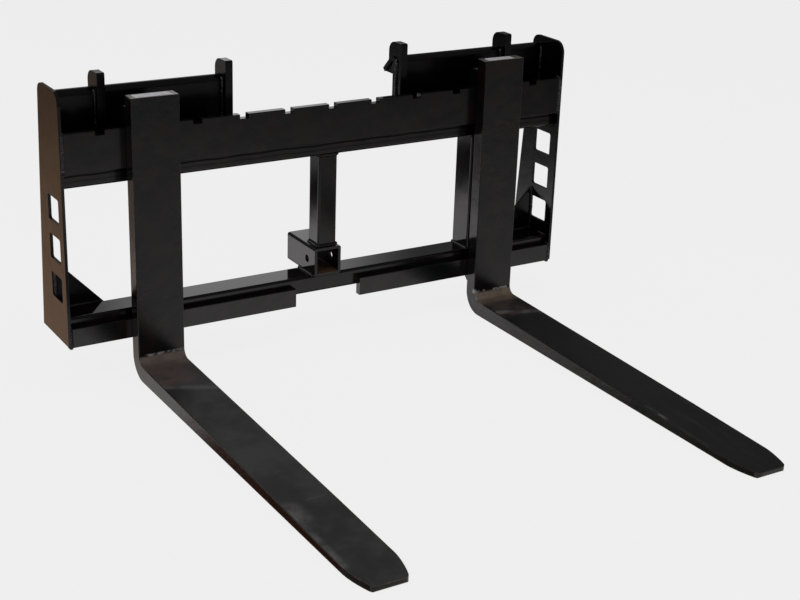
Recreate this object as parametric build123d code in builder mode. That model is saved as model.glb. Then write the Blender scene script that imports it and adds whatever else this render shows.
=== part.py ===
from build123d import *
import math
import os

os.makedirs("parts", exist_ok=True)

# Sizes in millimetres. +Z is up, the blades point to -Y, +X is to the right when facing the forks' fronts.
# Depths are counted from the bars' front face towards the loader, heights from the floor.

# frame outline: two side plates
frame_width = 1180.0
plate_thickness = 6.35
plate_bottom = 83.5
plate_top = 599.5
plate_foot_depth = 148.5
plate_head_depth = 110.0
plate_back_radius = 20.0
plate_front_radius = 26.0

# windows in the side plates, one above the other
window_count = 3
window_depth = 59.0
window_height = 51.5
window_front = 22.2
window_bottom = 169.5
window_pitch = 81.0
window_radius = 5.0

# fork bars
bar_thickness = 16.0
bar_edge = 1.2
upper_bar_height = 80.5
upper_bar_top = 518.5
lower_bar_height = 40.5
lower_bar_bottom = 81.2
removal_gap = 157.0
removal_gap_shift = -4.5

# locking notches along the upper bar's top edge
notch_pitch = 101.6
notch_count = 11
notch_width = 19.5
notch_depth = 9.0

# tubes of the frame
tube_depth = 63.5
tube_wall = 4.8
tube_corner = 5.0
upper_tube_height = 63.5
upper_tube_bottom = 405.5
lower_tube_height = 38.1
lower_tube_bottom = 101.4
upright_width = 38.1
upright_inner = 363.0
post_side = 44.45
post_setback = 1.5

# hitch receiver on the lower tube
receiver_side = 63.5
receiver_bore = 50.8
receiver_bore_corner = 1.5
receiver_length = 127.0
receiver_setback = 6.0
receiver_shift = -4.0
hitch_hole = 16.2
hitch_hole_inset = 35.0

# hook plates, their top edge bent back and down to a lip
hook_plate_thickness = 9.5
hook_plate_bottom = 425.0
hook_plate_overhang = 4.0
lip_slope = 45.0
lip_tip_depth = 130.2
lip_tip_height = 550.0
lip_inner_bend = 3.0

# gussets that stand on the upper tube and reach over the lip
gusset_thickness = 16.0
gusset_root = 17.0
gusset_reach = 34.0
gusset_rise = 13.3
gusset_bend_play = 0.8
gusset_back_radius = 22.0
gusset_front_radius = 4.0
inner_gusset_side = 199.0
mid_gusset_bay = 96.65

# blocks that close the lip's inner ends
lip_block_relief = 8.0

# corner gussets lapped on the lower tube's back
corner_thickness = 6.35
corner_bottom = 115.0
corner_height = 127.0
corner_length = 113.0
corner_nose = 8.0

# lower catch plates with the slots for the loader's wedge pins
catch_thickness = 9.5
catch_front = 45.0
catch_back = 142.0
catch_corner = 12.0
catch_slot_length = 50.8
catch_slot_width = 25.4
catch_slot_radius = 5.0
catch_slot_inset = 24.0
catch_slot_side = 400.0

# fork blades with their shanks
fork_width = 100.0
fork_notch = 4
fork_gap = 0.3
shank_thickness = 31.75
shank_top = 582.5
blade_length = 914.4
heel_thickness = 35.0
crease_reach = 634.0
crease_thickness = 19.6
tip_thickness = 11.0
tip_bevel = 3.0
heel_radius = 48.0
crook_radius = 18.0
fork_edge = 2.0
tip_taper = 92.0
tip_half_width = 33.0
tip_corner_radius = 13.0

# upper hooks, over the bar and down behind it
upper_hook_width = 88.9
upper_hook_top = 556.0
upper_hook_back = 36.0
upper_hook_drop = 22.0
upper_hook_radius = 12.0
hook_play = 1.5

# lower hooks, under the lower bar and up behind it
lower_hook_width = 70.0
lower_hook_bottom = 60.0
lower_hook_rise = 12.0
lower_hook_back = 36.0
lower_hook_slant = 13.0

# latch pins, shown lifted out of their notches
pin_diameter = 15.9
pin_hole_play = 1.1
pin_lift = 1.5
pin_floor_play = 1.2
pin_point = 2.5
pin_setback = 1.2
pin_top = 4.0
handle_diameter = 6.35
handle_length = 44.0
handle_edge = 1.2
handle_play = 0.4

# places that follow from the sizes above
bar_face = (shank_thickness + fork_gap + blade_length - plate_foot_depth) / 2
half_width = frame_width / 2
inner_side = half_width - plate_thickness
tube_front = bar_thickness
tube_back = tube_front + tube_depth
upper_tube_top = upper_tube_bottom + upper_tube_height
lower_tube_top = lower_tube_bottom + lower_tube_height
receiver_top = lower_tube_top + receiver_side
slope = math.radians(lip_slope)
hook_plate_inner = inner_gusset_side - hook_plate_overhang
mid_gusset_side = inner_side - mid_gusset_bay - gusset_thickness
gusset_front = tube_back - gusset_root
gusset_back = tube_back + gusset_reach
lip_peak = lip_tip_height + (lip_tip_depth - tube_back) * math.tan(slope)
lip_outer_bend = lip_inner_bend + hook_plate_thickness
gusset_top = lip_peak + gusset_rise
plate_back = tube_back + hook_plate_thickness
pocket_top = lip_peak - hook_plate_thickness * (math.cos(slope) + (1 + math.sin(slope)) * math.tan(slope))
lip_underside_depth = lip_tip_depth - hook_plate_thickness * math.sin(slope)
lip_underside_height = lip_tip_height - hook_plate_thickness * math.cos(slope)
shank_front = -fork_gap - shank_thickness
blade_end = shank_front - blade_length
fork_place = fork_notch * notch_pitch
pin_place = bar_thickness / 2 + pin_setback
pin_travel = pin_lift + notch_depth - pin_floor_play


def side_plane(x):
    """Plane across the frame at x: its first axis is the depth behind the bars' face, its second the height."""
    return Plane(origin=(x, bar_face, 0), x_dir=(0, 1, 0), z_dir=(1, 0, 0))


def face_plane(depth):
    """Plane parallel to the bars' face: its first axis is X, its second the height, it looks to the blades."""
    return Plane(origin=(0, bar_face + depth, 0), x_dir=(1, 0, 0), z_dir=(0, -1, 0))


def level_plane(height):
    """Level plane: its first axis is X, its second the depth behind the bars' face."""
    return Plane(origin=(0, bar_face, height), x_dir=(1, 0, 0), z_dir=(0, 0, 1))


def tube_section(first, second):
    """Rounded tube section of the frame's wall in the sketch that is being drawn."""
    RectangleRounded(first, second, tube_corner)
    RectangleRounded(first - 2 * tube_wall, second - 2 * tube_wall, tube_corner - tube_wall, mode=Mode.SUBTRACT)


def save(piece, name):
    piece.label = name
    export_step(piece, "parts/" + name + ".step")


sides = ((-1, "left"), (1, "right"))

# side plates: leaning back edge, rounded top corners, three windows
for side, word in sides:
    with BuildPart() as side_plate:
        with BuildSketch(side_plane(side * (inner_side + plate_thickness / 2))):
            with BuildLine():
                Polyline(
                    (0, plate_bottom),
                    (plate_foot_depth, plate_bottom),
                    (plate_head_depth, plate_top),
                    (0, plate_top),
                    close=True,
                )
            make_face()
            fillet(vertices().group_by(Axis.Y)[-1].sort_by(Axis.X)[0], plate_front_radius)
            fillet(vertices().group_by(Axis.Y)[-1].sort_by(Axis.X)[-1], plate_back_radius)
            for step in range(window_count):
                centre_height = window_bottom + window_height / 2 + step * window_pitch
                with Locations((window_front + window_depth / 2, centre_height)):
                    RectangleRounded(window_depth, window_height, window_radius, mode=Mode.SUBTRACT)
        extrude(amount=plate_thickness / 2, both=True)
    save(side_plate.part, "side_plate_" + word)

# upper fork bar with one notch in the middle and the others to both sides
with BuildPart() as upper_bar:
    with BuildSketch(side_plane(-inner_side)):
        with Locations((bar_thickness / 2, upper_bar_top - upper_bar_height / 2)):
            RectangleRounded(bar_thickness, upper_bar_height, bar_edge)
    extrude(amount=2 * inner_side)
    with BuildSketch(face_plane(0)):
        with Locations((0, upper_bar_top)):
            with GridLocations(notch_pitch, notch_pitch, notch_count, 1):
                Rectangle(notch_width, 2 * notch_depth)
    extrude(amount=-bar_thickness, mode=Mode.SUBTRACT)
save(upper_bar.part, "upper_fork_bar")

# lower fork bar in two lengths, with the gap for taking a fork off between them
for side, word in sides:
    bar_end = removal_gap_shift + side * removal_gap / 2
    with BuildPart() as lower_bar:
        with BuildSketch(side_plane(bar_end)):
            with Locations((bar_thickness / 2, lower_bar_bottom + lower_bar_height / 2)):
                RectangleRounded(bar_thickness, lower_bar_height, bar_edge)
        extrude(amount=side * inner_side - bar_end)
    save(lower_bar.part, "lower_fork_bar_" + word)

# cross tubes between the side plates, behind the bars
with BuildPart() as upper_tube:
    with BuildSketch(side_plane(-inner_side)):
        with Locations((tube_front + tube_depth / 2, upper_tube_bottom + upper_tube_height / 2)):
            tube_section(tube_depth, upper_tube_height)
    extrude(amount=2 * inner_side)
save(upper_tube.part, "upper_tube")

with BuildPart() as lower_tube:
    with BuildSketch(side_plane(-inner_side)):
        with Locations((tube_front + tube_depth / 2, lower_tube_bottom + lower_tube_height / 2)):
            tube_section(tube_depth, lower_tube_height)
    extrude(amount=2 * inner_side)
save(lower_tube.part, "lower_tube")

# uprights between the two tubes, just outside the middle field
for side, word in sides:
    with BuildPart() as upright:
        with BuildSketch(level_plane(lower_tube_top)):
            with Locations((side * (upright_inner + upright_width / 2), tube_front + tube_depth / 2)):
                tube_section(upright_width, tube_depth)
        extrude(amount=upper_tube_bottom - lower_tube_top)
    save(upright.part, "upright_" + word)

# hitch receiver: a square socket on the lower tube, open at both ends, with a cross hole for the hitch pin
with BuildPart() as receiver:
    with BuildSketch(face_plane(receiver_setback)):
        with Locations((receiver_shift, lower_tube_top + receiver_side / 2)):
            RectangleRounded(receiver_side, receiver_side, tube_corner)
            RectangleRounded(receiver_bore, receiver_bore, receiver_bore_corner, mode=Mode.SUBTRACT)
    extrude(amount=-receiver_length)
    with BuildSketch(side_plane(receiver_shift)):
        with Locations((receiver_setback + hitch_hole_inset, lower_tube_top + receiver_side / 2)):
            Circle(hitch_hole / 2)
    extrude(amount=receiver_side, both=True, mode=Mode.SUBTRACT)
save(receiver.part, "hitch_receiver")

# centre post from the receiver to the upper tube
with BuildPart() as post:
    with BuildSketch(level_plane(receiver_top)):
        with Locations((0, tube_front + post_setback + post_side / 2)):
            tube_section(post_side, post_side)
    extrude(amount=upper_tube_bottom - receiver_top)
save(post.part, "centre_post")


# hook plates: the loader's coupler takes the frame under these two lips
for side, word in sides:
    with BuildPart() as hook_plate:
        with BuildSketch(side_plane(side * hook_plate_inner)):
            with BuildLine():
                Polyline(
                    (tube_back, hook_plate_bottom),
                    (tube_back, lip_peak),
                    (lip_tip_depth, lip_tip_height),
                    (lip_underside_depth, lip_underside_height),
                    (plate_back, pocket_top),
                    (plate_back, hook_plate_bottom),
                    close=True,
                )
            make_face()
            fillet(vertices().sort_by_distance((tube_back, lip_peak))[0], lip_outer_bend)
            fillet(vertices().sort_by_distance((plate_back, pocket_top))[0], lip_inner_bend)
        extrude(amount=side * (inner_side - hook_plate_inner))
    save(hook_plate.part, "hook_plate_" + word)

# gussets: flat slabs in front of the hook plates, shaped over the bend and down onto the lip
lip_height_at_gusset = lip_peak - (gusset_back - tube_back) * math.tan(slope)
gusset_places = ((inner_gusset_side, "inner_gusset_"), (mid_gusset_side, "mid_gusset_"))
for near_side, name in gusset_places:
    for side, word in sides:
        with BuildPart() as gusset:
            with BuildSketch(side_plane(side * near_side)):
                with BuildLine():
                    Polyline(
                        (gusset_front, upper_tube_top),
                        (gusset_front, gusset_top),
                        (gusset_back, gusset_top),
                        (gusset_back, lip_height_at_gusset),
                        (tube_back, lip_peak),
                        (tube_back, upper_tube_top),
                        close=True,
                    )
                make_face()
                fillet(vertices().sort_by_distance((gusset_back, gusset_top))[0], gusset_back_radius)
                fillet(vertices().sort_by_distance((gusset_front, gusset_top))[0], gusset_front_radius)
                fillet(vertices().sort_by_distance((tube_back, lip_peak))[0], lip_outer_bend - gusset_bend_play)
            extrude(amount=side * gusset_thickness)
        save(gusset.part, name + word)

# blocks that close the lip's inner ends and centre the loader's coupler
for side, word in sides:
    with BuildPart() as lip_block:
        with BuildSketch(side_plane(side * inner_gusset_side)):
            with BuildLine():
                Polyline(
                    (plate_back, lip_underside_height),
                    (lip_underside_depth, lip_underside_height),
                    (plate_back + lip_block_relief * math.cos(slope),
                     pocket_top - lip_block_relief * math.sin(slope)),
                    (plate_back, pocket_top - lip_block_relief),
                    close=True,
                )
            make_face()
        extrude(amount=side * gusset_thickness)
    save(lip_block.part, "lip_end_block_" + word)

# corner gussets between the side plates and the lower tube's back
for side, word in sides:
    with BuildPart() as corner:
        with BuildSketch(face_plane(tube_back)):
            with BuildLine():
                Polyline(
                    (side * inner_side, corner_bottom),
                    (side * inner_side, corner_bottom + corner_height),
                    (side * (inner_side - corner_length), corner_bottom + corner_nose),
                    (side * (inner_side - corner_length), corner_bottom),
                    close=True,
                )
            make_face()
        extrude(amount=-corner_thickness)
    save(corner.part, "corner_gusset_" + word)

# lower catch plates under the lower tube, each with one slot for a wedge pin
catch_width = inner_side - hook_plate_inner
for side, word in sides:
    with BuildPart() as catch:
        with BuildSketch(level_plane(lower_tube_bottom - catch_thickness)):
            with Locations((side * (hook_plate_inner + catch_width / 2), (catch_front + catch_back) / 2)):
                Rectangle(catch_width, catch_back - catch_front)
            free_corner = vertices().sort_by_distance((side * hook_plate_inner, catch_back))[0]
            fillet(free_corner, catch_corner)
            with Locations((side * catch_slot_side, catch_back - catch_slot_inset)):
                RectangleRounded(catch_slot_length, catch_slot_width, catch_slot_radius, mode=Mode.SUBTRACT)
        extrude(amount=catch_thickness)
    save(catch.part, "catch_plate_" + word)

# forks: forged blade and shank in one bent piece, the blade thinning to a narrowed tip
for side, word in sides:
    with BuildPart() as fork:
        with BuildSketch(side_plane(side * fork_place)):
            with BuildLine():
                Polyline(
                    (-fork_gap, shank_top),
                    (-fork_gap, 0),
                    (blade_end, 0),
                    (blade_end, tip_thickness),
                    (shank_front - crease_reach, crease_thickness),
                    (shank_front, heel_thickness),
                    (shank_front, shank_top),
                    close=True,
                )
            make_face()
            fillet(vertices().sort_by_distance((-fork_gap, 0))[0], heel_radius)
            fillet(vertices().sort_by_distance((shank_front, heel_thickness))[0], crook_radius)
            chamfer(vertices().sort_by_distance((blade_end, 0))[0], tip_bevel)
        extrude(amount=fork_width / 2, both=True)
        fillet(edges().filter_by(Axis.X, reverse=True), fork_edge)
        with BuildSketch(level_plane(0)):
            with BuildLine():
                left_edge = side * fork_place - fork_width / 2
                right_edge = side * fork_place + fork_width / 2
                shoulder = blade_end + tip_taper
                left_tip = (side * fork_place - tip_half_width, blade_end)
                right_tip = (side * fork_place + tip_half_width, blade_end)
                Polyline((left_edge, shoulder), (left_edge, 0), (right_edge, 0), (right_edge, shoulder))
                TangentArc((right_edge, shoulder), right_tip, tangent=(0, -1))
                Line(right_tip, left_tip)
                TangentArc((left_edge, shoulder), left_tip, tangent=(0, -1))
            make_face()
            fillet(vertices().group_by(Axis.Y)[0], tip_corner_radius)
        extrude(amount=shank_top, mode=Mode.INTERSECT)
    save(fork.part, "fork_" + word)

# upper hooks, welded to the shanks' backs, each with the bore of its latch pin
hook_seat = upper_bar_top + fork_gap
for side, word in sides:
    with BuildPart() as upper_hook:
        with BuildSketch(side_plane(side * fork_place)):
            with BuildLine():
                Polyline(
                    (-fork_gap, hook_seat),
                    (-fork_gap, upper_hook_top),
                    (upper_hook_back, upper_hook_top),
                    (upper_hook_back, upper_bar_top - upper_hook_drop),
                    (bar_thickness + hook_play, upper_bar_top - upper_hook_drop),
                    (bar_thickness + hook_play, hook_seat),
                    close=True,
                )
            make_face()
            fillet(vertices().sort_by_distance((upper_hook_back, upper_hook_top))[0], upper_hook_radius)
        extrude(amount=upper_hook_width / 2, both=True)
        with BuildSketch(level_plane(hook_seat)):
            with Locations((side * fork_place, pin_place)):
                Circle((pin_diameter + pin_hole_play) / 2)
        extrude(amount=upper_hook_top - hook_seat, mode=Mode.SUBTRACT)
    save(upper_hook.part, "upper_hook_" + word)

# lower hooks, welded to the shanks' backs
lower_seat = lower_bar_bottom - fork_gap
for side, word in sides:
    with BuildPart() as lower_hook:
        with BuildSketch(side_plane(side * fork_place)):
            with BuildLine():
                Polyline(
                    (-fork_gap, lower_hook_bottom),
                    (-fork_gap, lower_seat),
                    (bar_thickness + hook_play, lower_seat),
                    (bar_thickness + hook_play, lower_bar_bottom + lower_hook_rise),
                    (lower_hook_back, lower_bar_bottom + lower_hook_rise),
                    (lower_hook_back, lower_hook_bottom + lower_hook_slant),
                    (lower_hook_back - lower_hook_slant, lower_hook_bottom),
                    close=True,
                )
            make_face()
        extrude(amount=lower_hook_width / 2, both=True)
    save(lower_hook.part, "lower_hook_" + word)

# latch pins: a plain pin with a cross handle, lifted so that its point stands clear above the bar
pin_bottom = upper_bar_top + pin_lift
handle_height = upper_hook_top + pin_travel + handle_play + handle_diameter / 2
for side, word in sides:
    with BuildPart() as pin:
        with BuildSketch(level_plane(pin_bottom)):
            with Locations((side * fork_place, pin_place)):
                Circle(pin_diameter / 2)
        extrude(amount=handle_height + pin_top - pin_bottom)
        chamfer(faces().sort_by(Axis.Z)[0].edges(), pin_point)
        chamfer(faces().sort_by(Axis.Z)[-1].edges(), handle_edge)
        with BuildSketch(side_plane(side * fork_place)):
            with Locations((pin_place, handle_height)):
                Circle(handle_diameter / 2)
        extrude(amount=handle_length / 2, both=True)
        chamfer(faces().filter_by(Axis.X).edges(), handle_edge)
    save(pin.part, "latch_pin_" + word)
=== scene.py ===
import math

import bmesh
import bpy
from mathutils import Matrix, Vector


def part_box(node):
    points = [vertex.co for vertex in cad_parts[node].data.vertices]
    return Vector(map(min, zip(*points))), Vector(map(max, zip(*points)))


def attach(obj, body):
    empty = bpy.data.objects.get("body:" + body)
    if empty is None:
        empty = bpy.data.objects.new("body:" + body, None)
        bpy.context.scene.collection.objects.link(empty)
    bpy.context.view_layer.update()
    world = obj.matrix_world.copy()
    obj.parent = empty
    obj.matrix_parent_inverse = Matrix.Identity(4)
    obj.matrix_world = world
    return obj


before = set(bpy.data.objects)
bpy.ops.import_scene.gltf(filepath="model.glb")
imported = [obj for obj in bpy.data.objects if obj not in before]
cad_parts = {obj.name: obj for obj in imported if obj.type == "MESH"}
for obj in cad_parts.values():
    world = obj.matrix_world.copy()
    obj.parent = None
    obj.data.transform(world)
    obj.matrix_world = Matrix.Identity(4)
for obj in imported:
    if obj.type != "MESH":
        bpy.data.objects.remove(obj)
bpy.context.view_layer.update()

# Camera: stands to the front left of the attachment, a little above it, and looks down over the two forks.
# The lens is long for the distance, so the frame's bars stay close to parallel.
lens_place = Vector((-1.5095, -2.3174, 1.3048))
focal_length = 69.1
sensor_width = 36.0
turned_right = math.radians(31.86)
tipped_down = math.radians(21.40)
rolled = math.radians(1.99)
ahead = Vector(
    (
        math.sin(turned_right) * math.cos(tipped_down),
        math.cos(turned_right) * math.cos(tipped_down),
        -math.sin(tipped_down),
    )
)
level_right = Vector((math.cos(turned_right), -math.sin(turned_right), 0))
level_up = level_right.cross(ahead)
picture_right = math.cos(rolled) * level_right + math.sin(rolled) * level_up
picture_up = math.cos(rolled) * level_up - math.sin(rolled) * level_right
camera_lens = bpy.data.cameras.new("camera")
camera_lens.lens = focal_length
camera_lens.sensor_width = sensor_width
camera_lens.clip_end = 100
camera = bpy.data.objects.new("camera", camera_lens)
camera.matrix_world = Matrix.Translation(lens_place) @ Matrix(
    (picture_right, picture_up, -ahead)
).transposed().to_4x4()
bpy.context.scene.collection.objects.link(camera)
bpy.context.scene.camera = camera
bpy.context.scene.view_settings.view_transform = "Standard"


# Studio: a wide pale floor under a plain dome, as for a picture on a white sheet. The camera sees plain white
# in place of the dome, whose light and dark areas show only where gloss paint mirrors them.
class Wire:
    """One output of a node: sums, products and comparisons of it add the Math nodes that work them out."""

    def __init__(self, graph, socket):
        self.graph = graph
        self.socket = socket

    def worked(self, operation, first, second=0.0):
        return self.graph.node("ShaderNodeMath", {"operation": operation}, {0: first, 1: second})

    def __add__(self, other):
        return self.worked("ADD", self, other)

    def __sub__(self, other):
        return self.worked("SUBTRACT", self, other)

    def __rsub__(self, other):
        return self.worked("SUBTRACT", other, self)

    def __mul__(self, other):
        return self.worked("MULTIPLY", self, other)

    def __truediv__(self, other):
        return self.worked("DIVIDE", self, other)

    def __pow__(self, other):
        return self.worked("POWER", self, other)

    def __lt__(self, other):
        return self.worked("LESS_THAN", self, other)

    def __abs__(self):
        return self.worked("ABSOLUTE", self)

    __radd__ = __add__
    __rmul__ = __mul__

    def fraction(self):
        return self.worked("FRACT", self)

    def least(self, other):
        return self.worked("MINIMUM", self, other)

    def ramp(self, low, high):
        """0 up to low, 1 from high on, and a smooth step between them."""
        return self.graph.node(
            "ShaderNodeMapRange",
            {"interpolation_type": "SMOOTHSTEP"},
            {"Value": self, "From Min": low, "From Max": high},
        )

    def blend(self, first, second):
        """A colour, from first where this is 0 to second where it is 1."""
        return self.graph.node("ShaderNodeMix", {"data_type": "RGBA"}, {0: self, 6: first, 7: second}, 2)


class Graph:
    """The nodes of one material, of the dome or of a modifier, all made by its one method node."""

    def __init__(self, tree):
        self.tree = tree
        tree.nodes.clear()

    def node(self, kind, settings, sockets, result=0):
        made = self.tree.nodes.new(kind)
        for name, value in settings.items():
            setattr(made, name, value)
        for key, value in sockets.items():
            if isinstance(value, Wire):
                self.tree.links.new(value.socket, made.inputs[key])
            else:
                made.inputs[key].default_value = value
        return Wire(self, made.outputs[result]) if len(made.outputs) else made

    def parts(self, vector):
        """The three numbers of a vector."""
        split = self.node("ShaderNodeSeparateXYZ", {}, {0: vector})
        return [Wire(self, output) for output in split.socket.node.outputs]

    def noise(self, place, scale, detail=3.0, roughness=0.5):
        return self.node(
            "ShaderNodeTexNoise",
            {},
            {"Vector": place, "Scale": scale, "Detail": detail, "Roughness": roughness},
        )


white_sheet = (0.863, 0.863, 0.863, 1)
bright = (0.95, 0.95, 0.96, 1)
dim = (0.12, 0.12, 0.12, 1)
nearly_dark = (0.012, 0.011, 0.011, 1)
ground_near = (0.80, 0.78, 0.77, 1)
far_wall = (0.72, 0.71, 0.71, 1)
mid_wall = (0.32, 0.32, 0.32, 1)
wall_foot = (0.020, 0.019, 0.019, 1)
lit_floor = (1.02, 0.99, 0.99, 1)
dull_floor = (0.50, 0.475, 0.475, 1)
shaded_floor = (0.20, 0.19, 0.19, 1)
deep_shade = (0.05, 0.05, 0.05, 1)
brown_floor = (0.075, 0.028, 0.013, 1)
grey_floor = (0.10, 0.095, 0.09, 1)
open_yard = (0.85, 0.84, 0.83, 1)
yard_floor = (0.42, 0.41, 0.40, 1)
door_top = (0.12, 0.066, 0.034, 1)
door_foot = (0.465, 0.285, 0.175, 1)
world = bpy.data.worlds.new("studio")
world.use_nodes = True
bpy.context.scene.world = world
sky = Graph(world.node_tree)
looked = sky.node("ShaderNodeTexCoord", {}, {}, "Generated")
across, along, upward = sky.parts(looked)
down = 0 - upward


def right_of(slope, low, high):
    """0 to the left of a direction over the floor and 1 to its right: slope sets the direction."""
    return (across + along * slope).ramp(low, high)


def below(tilt, low, high):
    """0 above a slanting line in the dome and 1 below it."""
    return (down - across * tilt).ramp(low, high)


# the low side of the dome in front, then the low side behind
front_ground = down.ramp(0.21, 0.40).blend(nearly_dark, ground_near)
front_ground = down.ramp(0.50, 0.62).blend(front_ground, nearly_dark)
wall_seen = 1 - (1 - right_of(slope=0.55, low=-0.04, high=0.02)) * (1 - down.ramp(0.225, 0.255))
wall_seen = wall_seen * right_of(slope=0.715, low=-0.02, high=0.01)
wall = wall_seen.blend(wall_foot, right_of(slope=0.60, low=-0.03, high=0.03).blend(far_wall, mid_wall))
back_ground = below(tilt=0.292, low=0.412, high=0.428).blend(wall, wall_foot)
far_floor = down.ramp(0.348, 0.385).blend(lit_floor, dull_floor)
back_ground = below(tilt=0.209, low=0.400, high=0.418).blend(back_ground, far_floor)
shade = right_of(slope=0.42, low=-0.03, high=0.03) * (1 - down.ramp(0.385, 0.41))
back_ground = shade.blend(back_ground, down.ramp(0.31, 0.36).blend(deep_shade, shaded_floor))
door = right_of(slope=0.376, low=-0.015, high=0.006) * (1 - down.ramp(0.40, 0.42))
plank_widths = (30.0, 30.0, 6.0)
plank_place = sky.node("ShaderNodeMapping", {}, {"Vector": looked, "Scale": plank_widths})
planks = sky.noise(plank_place, scale=1.0, detail=2.0)
lower_door = (down + (planks - 0.5) * 0.16).ramp(0.18, 0.37)
back_ground = door.blend(back_ground, lower_door.blend(door_top, door_foot))
near_floor = right_of(slope=0.72, low=-0.04, high=0.04).blend(grey_floor, brown_floor)
back_ground = below(tilt=0.154, low=0.488, high=0.508).blend(back_ground, near_floor)
yard = right_of(slope=0.27, low=0.0, high=0.08)
back_ground = yard.blend(back_ground, down.ramp(0.12, 0.45).blend(open_yard, yard_floor))
ground = along.ramp(-0.15, 0.15).blend(front_ground, back_ground)
# the high side is dim, with one wide bright area
window = right_of(slope=-0.374, low=-0.05, high=0.05) * (1 - right_of(slope=-0.53, low=-0.01, high=0.09))
dome = (window * (1 - upward.ramp(0.55, 0.75))).blend(dim, bright)
around = upward.ramp(-0.03, 0.02).blend(ground, dome)
from_camera = sky.node("ShaderNodeLightPath", {}, {}, "Is Camera Ray")
seen = from_camera.blend(around, white_sheet)
background = sky.node("ShaderNodeBackground", {}, {"Color": seen, "Strength": 1.0})
sky.node("ShaderNodeOutputWorld", {}, {"Surface": background})

# the floor glows almost as bright as the white sheet and takes only a faint shadow
floor_reach = 14.0
floor_sunk = 0.0005
floor_shading = (0.08, 0.08, 0.08, 1)
floor_glow = (0.832, 0.832, 0.832, 1)
floor_mesh = bpy.data.meshes.new("floor")
floor_mesh.from_pydata(
    [
        (-floor_reach, -floor_reach, 0),
        (floor_reach, -floor_reach, 0),
        (floor_reach, floor_reach, 0),
        (-floor_reach, floor_reach, 0),
    ],
    [],
    [(0, 1, 2, 3)],
)
floor = bpy.data.objects.new("floor", floor_mesh)
floor.location.z = -floor_sunk
floor.visible_glossy = False
bpy.context.scene.collection.objects.link(floor)
floor_material = bpy.data.materials.new("pale_floor")
floor_material.use_nodes = True
matt = Graph(floor_material.node_tree)
pale = matt.node("ShaderNodeBsdfDiffuse", {}, {"Color": floor_shading})
glow = matt.node("ShaderNodeEmission", {}, {"Color": floor_glow})
both = matt.node("ShaderNodeAddShader", {}, {0: pale, 1: glow})
matt.node("ShaderNodeOutputMaterial", {}, {"Surface": both})
floor_mesh.materials.append(floor_material)


def soft_light(name, place, target, size, power, tint, mirrored):
    """A square soft box at place, turned to target, which gloss paint mirrors only if mirrored is True."""
    lamp = bpy.data.lights.new(name, "AREA")
    lamp.shape = "SQUARE"
    lamp.size = size
    lamp.energy = power
    lamp.color = tint
    box = bpy.data.objects.new(name, lamp)
    turned = (Vector(target) - Vector(place)).to_track_quat("-Z", "Y")
    box.matrix_world = Matrix.Translation(place) @ turned.to_matrix().to_4x4()
    box.visible_camera = False
    box.visible_glossy = mirrored
    bpy.context.scene.collection.objects.link(box)


frame_middle = (0, 0, 0.3)
between_forks = (0, -0.1, 0)
sun_warm = (1.0, 0.97, 0.93)
lamp_warm = (1.0, 0.95, 0.90)
plain_white = (1.0, 1.0, 1.0)
sky_white = (1.0, 0.99, 1.0)
soft_light("light_left", (-3.2, -1.0, 2.6), frame_middle, size=2.2, power=16, tint=sun_warm, mirrored=True)
soft_light("light_back", (-2.6, 3.2, 2.8), frame_middle, size=2.0, power=14, tint=plain_white, mirrored=True)
soft_light("light_front", (1.3, -2.4, 1.1), frame_middle, size=0.9, power=11, tint=lamp_warm, mirrored=False)
soft_light("light_top", (0, -0.1, 3.0), between_forks, size=2.0, power=12, tint=sky_white, mirrored=False)


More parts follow.
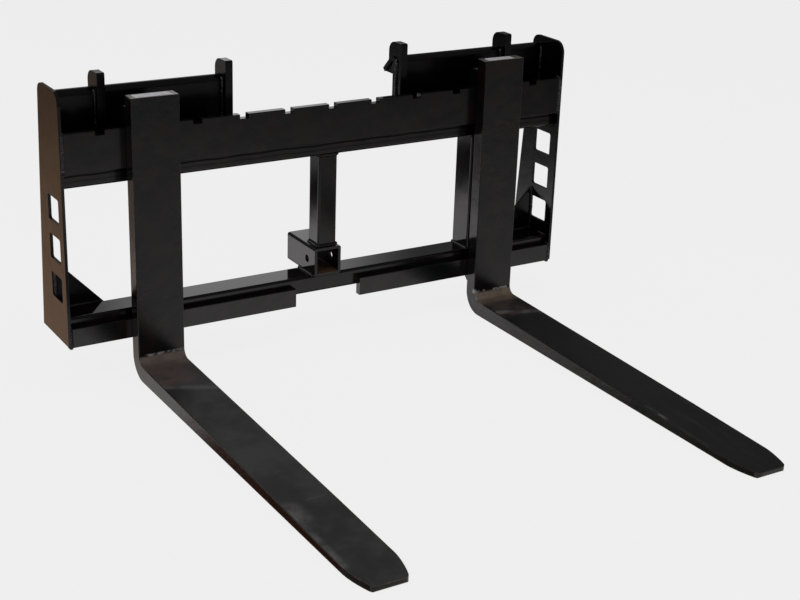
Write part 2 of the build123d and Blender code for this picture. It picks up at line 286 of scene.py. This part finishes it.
# Painted frame: the bars, tubes, plates and gussets are mild steel, welded up and then sprayed with gloss
# black enamel. The film is thick, a little wavy over rolled plate, and hazier on faces that look forward.
def enamel(name, cool, warm, worn, gloss, peel, wave, polish, rust_under=0.0, painted_shadow_lines=()):
    """A black enamel on steel: its two mottled colours, its colour along worn edges, and how it shines.

    Faces below the level rust_under that look up are rusty. Each painted shadow line darkens a front face
    through
    Metallic, as painted shadow under the bar, and is given by its level, its half width and its strength.
    """
    material = bpy.data.materials.new(name)
    material.use_nodes = True
    coat = Graph(material.node_tree)
    place = coat.node("ShaderNodeTexCoord", {}, {}, "Object")
    cloud = coat.noise(place, scale=9.0, detail=4.0, roughness=0.55)
    speck = coat.noise(place, scale=240.0, detail=2.0)
    mottle = coat.noise(place, scale=22.0, detail=4.0, roughness=0.6).ramp(0.40, 0.62)
    faces = coat.parts(coat.node("ShaderNodeTexCoord", {}, {}, "Normal"))
    level = coat.parts(place)[2]
    front = abs(faces[1]).ramp(0.80, 0.98)
    rounded = coat.node("ShaderNodeBevel", {"samples": 4}, {"Radius": 0.0010})
    true_normal = coat.node("ShaderNodeNewGeometry", {}, {}, "Normal")
    leaning = coat.node(
        "ShaderNodeVectorMath", {"operation": "DOT_PRODUCT"}, {0: rounded, 1: true_normal}, "Value"
    )
    edge = (1 - leaning).ramp(0.03, 0.2)
    bare = edge * coat.noise(place, scale=55.0).ramp(0.50, 0.68)
    colour = bare.blend(mottle.blend(cool, warm), worn)
    rusty = faces[2].ramp(0.60, 0.90) * (level < rust_under)
    colour = rusty.blend(colour, cloud.ramp(0.35, 0.65).blend(dark_rust, light_rust))
    # painted shadow: dark lines on the front face just under the bar, made dark through Metallic
    shadow = 0.0
    for shadow_level, shadow_half, shadow_strength in painted_shadow_lines:
        drifting = level + (coat.noise(place, scale=14.0) - 0.5) * painted_shadow_wander
        painted_shadow_line = soft_band(drifting, centre=shadow_level, half=shadow_half, fade=painted_shadow_fade)
        shadow = painted_shadow_line * shadow_strength * front + shadow
    film = (speck - 0.5) * peel + (coat.noise(place, scale=16.0, detail=2.0) - 0.5) * wave
    relief = coat.node(
        "ShaderNodeBump", {}, {"Height": film, "Distance": 0.001, "Strength": 1.0, "Normal": rounded}
    )
    skin = coat.node(
        "ShaderNodeBsdfPrincipled",
        {},
        {
            "Base Color": colour,
            "Roughness": cloud * 0.10 + polish + edge * 0.2 + front * 0.12 + rusty * 0.5,
            "Metallic": shadow,
            "Normal": relief,
            "Specular IOR Level": gloss,
        },
    )
    coat.node("ShaderNodeOutputMaterial", {}, {"Surface": skin})
    return material


def soft_band(value, centre, half, fade):
    """1 within half of the centre, 0 from half and fade away on."""
    return 1 - abs(value - centre).ramp(half, half + fade)


def dressed(material, *names):
    """Gives CAD pieces their finish."""
    for name in names:
        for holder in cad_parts[name].material_slots:
            holder.material = material


cool_black = (0.0016, 0.0023, 0.0023, 1)
warm_black = (0.0062, 0.0024, 0.0031, 1)
worn_black = (0.022, 0.019, 0.018, 1)
# darker copies of the frame's blacks: painted shade for the hook plates, gussets and right side plate
shaded_cool_plate = (0.0009, 0.0010, 0.0010, 1)
shaded_warm_plate = (0.0020, 0.0010, 0.0011, 1)
shaded_worn_plate = (0.012, 0.010, 0.009, 1)
worn_bead = (0.050, 0.046, 0.044, 1)
dark_rust = (0.030, 0.016, 0.008, 1)
light_rust = (0.110, 0.062, 0.032, 1)
receiver_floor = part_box("hitch_receiver")[0].z
receiver_rust = receiver_floor + 0.02
# the painted shadow lines under the upper bar: their wander, their soft ends, and each line's level, half
# width and strength
painted_shadow_wander = 0.006
painted_shadow_fade = 0.0014
painted_shadow_lines_under_bar = [(0.4288, 0.0012, 0.75), (0.4185, 0.0008, 0.35)]
frame_enamel = enamel(
    "gloss_black_frame",
    cool_black,
    warm_black,
    worn_black,
    gloss=0.5,
    peel=0.010,
    wave=0.12,
    polish=0.02,
)
side_enamel = enamel(
    "gloss_black_left_plate",
    cool_black,
    warm_black,
    worn_black,
    gloss=0.5,
    peel=0.03,
    wave=0.7,
    polish=0.06,
)
bar_enamel = enamel(
    "gloss_black_bars",
    cool_black,
    warm_black,
    worn_black,
    gloss=0.60,
    peel=0.03,
    wave=0.30,
    polish=0.02,
)
# a darker, duller copy of the frame's enamel, as painted shade on the plates and gussets
plate_enamel_painted_shade = enamel(
    "gloss_black_plates_painted_shade",
    shaded_cool_plate,
    shaded_warm_plate,
    shaded_worn_plate,
    gloss=0.4,
    peel=0.03,
    wave=0.3,
    polish=0.10,
)
# the upper tube's enamel carries the painted shadow lines under the bar
tube_enamel_with_painted_shadow = enamel(
    "gloss_black_upper_tube_painted_shadow",
    cool_black,
    warm_black,
    worn_black,
    gloss=0.60,
    peel=0.03,
    wave=0.30,
    polish=0.02,
    painted_shadow_lines=painted_shadow_lines_under_bar,
)
receiver_enamel = enamel(
    "gloss_black_receiver",
    cool_black,
    warm_black,
    worn_black,
    gloss=0.5,
    peel=0.010,
    wave=0.12,
    polish=0.02,
    rust_under=receiver_rust,
)
weld_enamel = enamel(
    "gloss_black_welds",
    cool_black,
    warm_black,
    worn_bead,
    gloss=0.8,
    peel=0.20,
    wave=0.5,
    polish=0.06,
)
sides = ("left", "right")
dressed(bar_enamel, "upper_fork_bar")
dressed(tube_enamel_with_painted_shadow, "upper_tube")
dressed(frame_enamel, "lower_tube", "centre_post")
dressed(receiver_enamel, "hitch_receiver")
for side in sides:
    dressed(bar_enamel, f"lower_fork_bar_{side}")
    dressed(frame_enamel, f"upright_{side}", f"catch_plate_{side}")
    dressed(plate_enamel_painted_shade, f"corner_gusset_{side}", f"inner_gusset_{side}", f"mid_gusset_{side}")
    dressed(plate_enamel_painted_shade, f"hook_plate_{side}", f"lip_end_block_{side}")
dressed(side_enamel, "side_plate_left")
dressed(plate_enamel_painted_shade, "side_plate_right")


# Forks: each shank, heel and blade is one forged steel bar with two hooks welded to its back. The black is
# glossy on the sides, dull on the blade's top, where loads slide, and gold-brown in the bend of the heel,
# where a painted highlight line runs.
scuff_stretch = (42.0, 4.0, 42.0)
shank_thick = 0.03175
blade_below = 0.2
crease_out = 0.631
cool_fork = (0.0016, 0.0024, 0.0026, 1)
warm_fork = (0.0068, 0.0028, 0.0034, 1)
stain_brown = (0.120, 0.088, 0.080, 1)
smear_grey = (0.105, 0.100, 0.100, 1)
# bare grey serves both worn bare steel and painted highlights
bare_grey_and_painted_highlight = (0.26, 0.25, 0.25, 1)
worn_edge_and_highlight_grey = (0.070, 0.060, 0.053, 1)


def near_point(graph, spot, place, radius, fade):
    """1 within the radius of a place, 0 from radius and fade away on."""
    away = graph.node("ShaderNodeVectorMath", {"operation": "DISTANCE"}, {0: spot, 1: place}, "Value")
    return 1 - away.ramp(radius, radius + fade)


def fork_finish(
    side, top_colours_lit_and_shaded, gold, stain, smear_at, smear_lean, smear_strength, side_gloss, rim_colour, worn_runs, painted_glints
):
    """The finish of one fork, with the marks that loads have left on it, and with painted light, shade and
    highlights.

    Distances are metres out from the shank's front. Each worn run has its centre, its half length, how far
    it reaches in from the blade's left edge, and its strength. Each painted glint, a highlight painted in
    bare grey, has its place and its size.
    """
    low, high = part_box(f"fork_{side}")
    material = bpy.data.materials.new(f"satin_black_fork_{side}")
    material.use_nodes = True
    steel = Graph(material.node_tree)
    spot = steel.node("ShaderNodeTexCoord", {}, {}, "Object")
    x, y, z = steel.parts(spot)
    in_width = x - low.x
    out = (high.y - shank_thick) - y
    patch = steel.noise(spot, scale=11.0, detail=5.0, roughness=0.6)
    grain = steel.noise(spot, scale=130.0)
    drawn_out = steel.node("ShaderNodeMapping", {}, {"Vector": spot, "Scale": scuff_stretch})
    streak = steel.noise(drawn_out, scale=1.0, detail=4.0, roughness=0.7)
    sideness, _, upness = steel.parts(steel.node("ShaderNodeTexCoord", {}, {}, "Normal"))
    topside = upness.ramp(0.85, 0.99) * (z < blade_below)
    flank = abs(sideness).ramp(0.75, 0.98)
    facing_up = upness.ramp(0.10, 0.45)
    soft_edge = steel.node("ShaderNodeBevel", {"samples": 4}, {"Radius": 0.0014})
    flat_normal = steel.node("ShaderNodeNewGeometry", {}, {}, "Normal")
    turn = steel.node(
        "ShaderNodeVectorMath", {"operation": "DOT_PRODUCT"}, {0: soft_edge, 1: flat_normal}, "Value"
    )
    edge = (1 - turn).ramp(0.03, 0.2)
    # the edges' lighter colour is partly wear and partly painted edge highlight
    rubbed_and_highlit_edge = edge * (steel.noise(spot, scale=40.0) + out.ramp(0.45, 0.90) * 0.14).ramp(0.50, 0.64)
    mottle = steel.noise(spot, scale=24.0, detail=4.0, roughness=0.6).ramp(0.40, 0.62)
    base = mottle.blend(cool_fork, warm_fork)
    # the blade's top colour is a mottle, set lighter on the left fork as painted light and darker on the
    # right as painted shade
    base = topside.blend(base, patch.ramp(0.35, 0.65).blend(*top_colours_lit_and_shaded))
    long_marks = streak.ramp(0.50, 0.80) * topside * (0.25 + out.ramp(0.40, 0.80) * 0.75)
    base = (long_marks * 0.35).blend(base, smear_grey)
    # gold-brown bend, stained steel in front of it, a painted highlight line in the bend and one slanting
    # smear
    clouds = steel.noise(spot, scale=38.0)
    in_bend = soft_band(out, centre=0.012, half=0.014, fade=0.022) * facing_up
    base = (in_bend * ((clouds + grain * 0.2).ramp(0.30, 0.80) * 0.45 + 0.45)).blend(base, gold)
    stained = soft_band(out, centre=0.066, half=0.034, fade=0.035) * topside
    stained = stained * (1 - in_width.ramp(0.055, 0.098)) * (clouds + patch * 0.4).ramp(0.45, 0.78)
    base = (stained * stain).blend(base, stain_brown)
    # painted highlight: a broken light line across the top of the heel's bend
    painted_highlight_line = soft_band(z, centre=0.0500, half=0.0010, fade=0.0030)
    painted_highlight_line = painted_highlight_line * soft_band(out, centre=0.002, half=0.006, fade=0.006)
    painted_highlight_line = painted_highlight_line * steel.noise(spot, scale=75.0, detail=2.0).ramp(0.42, 0.58)
    base = painted_highlight_line.blend(base, bare_grey_and_painted_highlight)
    smear = soft_band(out - in_width * smear_lean, centre=smear_at, half=0.003, fade=0.012) * topside
    smear = smear * steel.noise(spot, scale=26.0).ramp(0.30, 0.60)
    base = (smear * smear_strength).blend(base, bare_grey_and_painted_highlight)
    # the crease, the runs of wear along the left edge and the rim of the tip
    crease = soft_band(out, centre=crease_out, half=0.0008, fade=0.0018) * topside * patch.ramp(0.40, 0.60)
    base = (crease * 0.7).blend(base, smear_grey)
    scuffs = (clouds + grain * 0.3).ramp(0.42, 0.80)
    for run_centre, run_half, reach, strength in worn_runs:
        worn_run = soft_band(out, centre=run_centre, half=run_half, fade=0.02) * topside
        worn_run = worn_run * (1 - in_width.ramp(reach * 0.3, reach))
        base = (worn_run * scuffs * strength).blend(base, bare_grey_and_painted_highlight)
    # painted glints: small bare-grey spots in the right heel's bend that stand for highlights
    for place, size in painted_glints:
        painted_glint_place = (low.x + place[0], high.y - shank_thick - place[1], place[2])
        painted_glint = near_point(steel, spot, painted_glint_place, radius=size * 0.3, fade=size)
        base = painted_glint.blend(base, bare_grey_and_painted_highlight)
    # edges in lighter grey-brown: wear and painted edge highlight
    base = rubbed_and_highlit_edge.blend(base, worn_edge_and_highlight_grey)
    rim = edge * out.ramp(0.800, 0.850) * steel.noise(spot, scale=30.0).ramp(0.30, 0.50)
    base = rim.blend(base, rim_colour)
    relief = (grain - 0.5) * topside * 0.16 + (patch - 0.5) * 0.8
    bumps = steel.node(
        "ShaderNodeBump", {}, {"Height": relief, "Distance": 0.001, "Strength": 0.9, "Normal": soft_edge}
    )
    skin = steel.node(
        "ShaderNodeBsdfPrincipled",
        {},
        {
            "Base Color": base,
            "Roughness": patch * 0.14 + 0.21 + topside * 0.30 + edge * 0.2 - flank * 0.14,
            "Specular IOR Level": 0.50,
            "Coat Weight": flank * (1 - edge) * side_gloss,
            "Coat Roughness": 0.05,
            "Normal": bumps,
        },
    )
    steel.node("ShaderNodeOutputMaterial", {}, {"Surface": skin})
    return material


fork_finishes = {
    "left": fork_finish(
        "left",
        # the left blade's top is set lighter: painted light
        top_colours_lit_and_shaded=((0.029, 0.029, 0.029, 1), (0.064, 0.062, 0.062, 1)),
        gold=(0.200, 0.155, 0.132, 1),
        stain=1.0,
        smear_at=0.120,
        smear_lean=0.46,
        smear_strength=0.30,
        side_gloss=0.28,
        rim_colour=(0.420, 0.320, 0.240, 1),
        worn_runs=[(0.662, 0.022, 0.040, 0.40), (0.775, 0.060, 0.016, 0.45)],
        painted_glints=[],
    ),
    "right": fork_finish(
        "right",
        # the right blade's top is set darker: painted shade
        top_colours_lit_and_shaded=((0.0052, 0.0052, 0.0052, 1), (0.0105, 0.0100, 0.0100, 1)),
        gold=(0.250, 0.200, 0.150, 1),
        stain=0.55,
        smear_at=0.088,
        smear_lean=0.37,
        smear_strength=0.55,
        side_gloss=0.0,
        rim_colour=(0.050, 0.048, 0.046, 1),
        worn_runs=[(0.640, 0.020, 0.012, 0.45)],
        painted_glints=[((0.001, -0.001, 0.052), 0.006), ((0.002, 0.010, 0.040), 0.006)],
    ),
}
for side in sides:
    dressed(fork_finishes[side], f"fork_{side}", f"upper_hook_{side}", f"lower_hook_{side}")


# Latch pins: round steel bar with a short cross handle, zinc plated, dropped through the upper hooks into the
# notches of the bar. The plating is pale and slightly cloudy, with fine rings from turning.
dull_zinc = (0.48, 0.49, 0.50, 1)
pale_zinc = (0.60, 0.60, 0.58, 1)
rings_per_metre = 1400.0
pin_material = bpy.data.materials.new("zinc_latch_pins")
pin_material.use_nodes = True
plating = Graph(pin_material.node_tree)
point = plating.node("ShaderNodeTexCoord", {}, {}, "Object")
bloom = plating.noise(point, scale=160.0, detail=4.0, roughness=0.6)
height = plating.parts(point)[2]
rings = abs((height * rings_per_metre).fraction() - 0.5)
turned_rings = plating.node("ShaderNodeBump", {}, {"Height": rings * 0.03 + bloom * 0.05, "Distance": 0.001})
zinc = plating.node(
    "ShaderNodeBsdfPrincipled",
    {},
    {
        "Base Color": bloom.ramp(0.3, 0.7).blend(dull_zinc, pale_zinc),
        "Metallic": 1.0,
        "Roughness": bloom * 0.2 + 0.22,
        "Normal": turned_rings,
    },
)
plating.node("ShaderNodeOutputMaterial", {}, {"Surface": zinc})
for side in sides:
    dressed(pin_material, f"latch_pin_{side}")


# Welds: every joint of the frame, and each hook's joint to its shank, is a run of arc weld laid in the corner
# and painted over. A bead is a round rope of overlapping ripples, half of it melted into the plates.
bead_radius = 0.0048
bead_step = 0.00115
bead_sides = 9
bead_wander = 0.0016
wanders_per_metre = 90.0
blunt_end = 0.12
ripple_pitch = 0.0034
ripple_depth = 0.22
ripple_hollow = 1.6
flush_depth = 0.0026
clear_of_bar = 0.005
stitch_length = 0.05


def corner_run(start, end):
    """A weld in an inner corner, along the corner's line."""
    return [Vector(start), Vector(end)]


def flush_run(start, end, inward):
    """A weld over a joint that lies flat, sunk until only its crown stands out."""
    sunk = Vector(inward).normalized() * flush_depth
    return [Vector(start) + sunk, Vector(end) + sunk]


def stitches(start, end, pitch):
    """Short runs at equal steps along a long joint."""
    line = Vector(end) - Vector(start)
    count = max(1, round(line.length / pitch))
    half = line.normalized() * stitch_length / 2
    middles = [Vector(start) + line / count * (k + 0.5) for k in range(count)]
    return [[middle - half, middle + half] for middle in middles]


def bead_tree(finish):
    """The modifier that turns lines into weld beads."""
    group = bpy.data.node_groups.new("weld_bead", "GeometryNodeTree")
    face = group.interface
    face.new_socket("Geometry", in_out="OUTPUT", socket_type="NodeSocketGeometry")
    face.new_socket("Lines", in_out="INPUT", socket_type="NodeSocketGeometry")
    for name in ("Bead Radius", "Ripple Pitch", "Ripple Depth", "Step", "Wander"):
        face.new_socket(name, in_out="INPUT", socket_type="NodeSocketFloat")
    run = Graph(group)
    given = run.node("NodeGroupInput", {}, {}).socket.node
    lines, radius, pitch, depth, step, wander = [Wire(run, given.outputs[k]) for k in range(6)]
    line = run.node("GeometryNodeMeshToCurve", {}, {"Mesh": lines})
    line = run.node("GeometryNodeResampleCurve", {"mode": "LENGTH"}, {"Curve": line, "Length": step})
    drift = run.node("ShaderNodeTexNoise", {}, {"Scale": wanders_per_metre, "Detail": 1.0}, "Color")
    drift = run.node("ShaderNodeVectorMath", {"operation": "SUBTRACT"}, {0: drift, 1: (0.5, 0.5, 0.5)})
    drift = run.node("ShaderNodeVectorMath", {"operation": "SCALE"}, {0: drift, "Scale": wander})
    line = run.node("GeometryNodeSetPosition", {}, {"Geometry": line, "Offset": drift})
    gone = run.node("GeometryNodeSplineParameter", {}, {}, "Length")
    whole = run.node("GeometryNodeSplineLength", {}, {}, "Length")
    left = gone.least(whole - gone) / radius
    left = (left + blunt_end).least(1.0)
    ends = (left * (2 - left)) ** 0.5
    ripple = 1 - depth * (gone / pitch).fraction() ** ripple_hollow
    ring = run.node("GeometryNodeCurvePrimitiveCircle", {}, {"Resolution": bead_sides, "Radius": 1.0})
    bead = run.node(
        "GeometryNodeCurveToMesh",
        {},
        {"Curve": line, "Profile Curve": ring, "Scale": radius * ends * ripple, "Fill Caps": True},
    )
    bead = run.node("GeometryNodeSetShadeSmooth", {}, {"Geometry": bead, "Shade Smooth": True})
    bead = run.node("GeometryNodeRealizeInstances", {}, {"Geometry": bead})
    bead = run.node("GeometryNodeSetMaterial", {}, {"Geometry": bead, "Material": finish})
    run.node("NodeGroupOutput", {}, {0: bead})
    return group


def welded(name, runs, finish, body):
    """One mesh of all the beads of a body."""
    lines = bpy.data.meshes.new(name + "_lines")
    lines.from_pydata(
        [corner for pair in runs for corner in pair], [(2 * k, 2 * k + 1) for k in range(len(runs))], []
    )
    path = bpy.data.objects.new(name + "_lines", lines)
    bpy.context.scene.collection.objects.link(path)
    maker = path.modifiers.new("weld_bead", "NODES")
    maker.node_group = bead_tree(finish)
    values = {
        "Bead Radius": bead_radius,
        "Ripple Pitch": ripple_pitch,
        "Ripple Depth": ripple_depth,
        "Step": bead_step,
        "Wander": bead_wander,
    }
    for item in maker.node_group.interface.items_tree:
        if item.name in values:
            maker[item.identifier] = values[item.name]
    made = bpy.data.meshes.new_from_object(path.evaluated_get(bpy.context.evaluated_depsgraph_get()))
    made.name = name
    bpy.data.objects.remove(path)
    bead = bpy.data.objects.new(name, made)
    bpy.context.scene.collection.objects.link(bead)
    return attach(bead, body)


bar_low, bar_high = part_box("upper_fork_bar")
top_low, top_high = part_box("upper_tube")
rail_low, rail_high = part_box("lower_tube")
gusset_toe = 0.4925
catch_behind_rail = 0.0625
short_of_plate_top = 0.006
short_of_gusset_top = 0.004
runs = []
for side, way in (("left", -1), ("right", 1)):
    wall = way * top_high.x
    inward = (0, 1, 0)
    # side plate to the two tubes and to the bars' ends
    runs.append(corner_run((wall, top_low.y, top_high.z), (wall, top_high.y, top_high.z)))
    runs.append(corner_run((wall, top_low.y, top_low.z), (wall, top_high.y, top_low.z)))
    runs.append(corner_run((wall, rail_low.y, rail_high.z), (wall, rail_high.y, rail_high.z)))
    runs.append(flush_run((wall, bar_low.y, bar_low.z), (wall, bar_low.y, bar_high.z), inward))
    runs.append(corner_run((wall, bar_low.y, bar_high.z), (wall, bar_high.y, bar_high.z)))
    runs.append(corner_run((wall, bar_low.y, bar_low.z), (wall, bar_high.y, bar_low.z)))
    low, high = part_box(f"lower_fork_bar_{side}")
    runs.append(flush_run((wall, low.y, low.z), (wall, low.y, high.z), inward))
    runs.append(corner_run((wall, low.y, high.z), (wall, high.y, high.z)))
    runs.append(corner_run((wall, low.y, low.z), (wall, high.y, low.z)))
    # corner gusset to the rail and to the side plate
    low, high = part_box(f"corner_gusset_{side}")
    runs.append(corner_run((way * gusset_toe, low.y, rail_high.z), (wall, low.y, rail_high.z)))
    runs.append(corner_run((wall, low.y, rail_high.z), (wall, low.y, high.z)))
    # catch plate to the rail's underside
    low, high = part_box(f"catch_plate_{side}")
    rail_back = high.y - catch_behind_rail
    runs.append(corner_run((low.x, rail_back, rail_low.z), (high.x, rail_back, rail_low.z)))
    runs += stitches((low.x, low.y, rail_low.z), (high.x, low.y, rail_low.z), pitch=0.13)
    # upright's foot and head
    low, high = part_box(f"upright_{side}")
    for level in (low.z, high.z):
        runs.append(corner_run((low.x, low.y, level), (low.x, high.y, level)))
        runs.append(corner_run((high.x, low.y, level), (high.x, high.y, level)))
        runs.append(flush_run((low.x, low.y, level), (high.x, low.y, level), (0, 1, 0)))
        runs.append(flush_run((low.x, high.y, level), (high.x, high.y, level), (0, -1, 0)))
    # hook plate to the side plate and to the tube's back
    low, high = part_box(f"hook_plate_{side}")
    runs.append(corner_run((wall, low.y, top_high.z), (wall, low.y, high.z - short_of_plate_top)))
    runs.append(corner_run((low.x, low.y, top_high.z), (high.x, low.y, top_high.z)))
    runs.append(corner_run((low.x, low.y, low.z), (high.x, low.y, low.z)))
    # gussets to the tube's top and to the front of the hook plate
    for piece in ("inner_gusset", "mid_gusset"):
        start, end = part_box(f"{piece}_{side}")
        for flank in (start.x, end.x):
            runs.append(corner_run((flank, start.y, start.z), (flank, low.y, start.z)))
            runs.append(corner_run((flank, low.y, start.z), (flank, low.y, high.z - short_of_gusset_top)))
        runs.append(corner_run((start.x, start.y, start.z), (end.x, start.y, start.z)))
# bar to the upper tube, above and below
runs += stitches((bar_low.x, bar_high.y, top_high.z), (bar_high.x, bar_high.y, top_high.z), pitch=0.15)
runs += stitches((bar_low.x, bar_high.y, bar_low.z), (bar_high.x, bar_high.y, bar_low.z), pitch=0.15)
# centre post, and the receiver under it
low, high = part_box("centre_post")
for level in (low.z, high.z):
    for flank in (low.x, high.x):
        runs.append(corner_run((flank, low.y, level), (flank, high.y, level)))
    for end in (low.y, high.y):
        runs.append(corner_run((low.x, end, level), (high.x, end, level)))
low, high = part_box("hitch_receiver")
for flank in (low.x, high.x):
    runs.append(corner_run((flank, rail_low.y, low.z), (flank, rail_high.y, low.z)))
for end in (rail_low.y, rail_high.y):
    runs.append(corner_run((low.x, end, low.z), (high.x, end, low.z)))
welded("frame_welds", runs, weld_enamel, "frame")

# each fork's hooks, whose beads stay clear of the bars they hang on
over_bar = bar_high.z + clear_of_bar + bead_radius
lower_hook_run = 0.014
for side in sides:
    low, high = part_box(f"upper_hook_{side}")
    runs = [corner_run((low.x, low.y, high.z), (high.x, low.y, high.z))]
    for flank in (low.x, high.x):
        runs.append(corner_run((flank, low.y, over_bar), (flank, low.y, high.z)))
    low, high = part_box(f"lower_hook_{side}")
    runs.append(corner_run((low.x, low.y, low.z), (high.x, low.y, low.z)))
    for flank in (low.x, high.x):
        runs.append(corner_run((flank, low.y, low.z), (flank, low.y, low.z + lower_hook_run)))
    welded(f"fork_welds_{side}", runs, fork_finishes[side], f"fork_{side}")


# Blank labels: a strip of white film on the top end of each shank, stuck flat, with rounded corners and
# nothing on it. The film has greyed a little and in patches.
film_sizes = {"left": (0.0765, 0.025), "right": (0.067, 0.021)}
film_thick = 0.00025
film_corner = 0.0025
film_from_edge = 0.011
film_from_back = 0.016
points_per_corner = 5
clean_film = (0.87, 0.86, 0.89, 1)
greyed_film = (0.66, 0.64, 0.68, 1)
film_material = bpy.data.materials.new("white_film")
film_material.use_nodes = True
sheet = Graph(film_material.node_tree)
film_spot = sheet.node("ShaderNodeTexCoord", {}, {}, "Object")
dirt = sheet.noise(film_spot, scale=90.0, detail=4.0, roughness=0.6)
film_skin = sheet.node(
    "ShaderNodeBsdfPrincipled",
    {},
    {
        "Base Color": dirt.ramp(0.35, 0.7).blend(clean_film, greyed_film),
        "Roughness": dirt * 0.25 + 0.3,
    },
)
sheet.node("ShaderNodeOutputMaterial", {}, {"Surface": film_skin})
for side in sides:
    low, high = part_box(f"fork_{side}")
    film_width, film_depth = film_sizes[side]
    left_end = low.x + film_from_edge
    middle_y = high.y - film_from_back
    outline = []
    for corner in range(4):
        centre_x = left_end + (film_width - film_corner if corner in (0, 3) else film_corner)
        centre_y = middle_y + (film_depth / 2 - film_corner) * (1 if corner in (0, 1) else -1)
        for k in range(points_per_corner):
            angle = math.radians(90 * corner + 90 / (points_per_corner - 1) * k)
            point_x = centre_x + film_corner * math.cos(angle)
            point_y = centre_y + film_corner * math.sin(angle)
            outline.append((point_x, point_y))
    film = bmesh.new()
    rim = [film.verts.new((x, y, high.z + film_thick)) for x, y in outline]
    film.faces.new(rim)
    foot = [film.verts.new((x, y, high.z)) for x, y in outline]
    for k in range(len(rim)):
        film.faces.new((rim[k], foot[k], foot[(k + 1) % len(rim)], rim[(k + 1) % len(rim)]))
    film.faces.new(list(reversed(foot)))
    bmesh.ops.recalc_face_normals(film, faces=film.faces)
    mesh = bpy.data.meshes.new(f"blank_label_{side}")
    film.to_mesh(mesh)
    film.free()
    mesh.materials.append(film_material)
    label = bpy.data.objects.new(f"blank_label_{side}", mesh)
    bpy.context.scene.collection.objects.link(label)
    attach(label, f"fork_{side}")
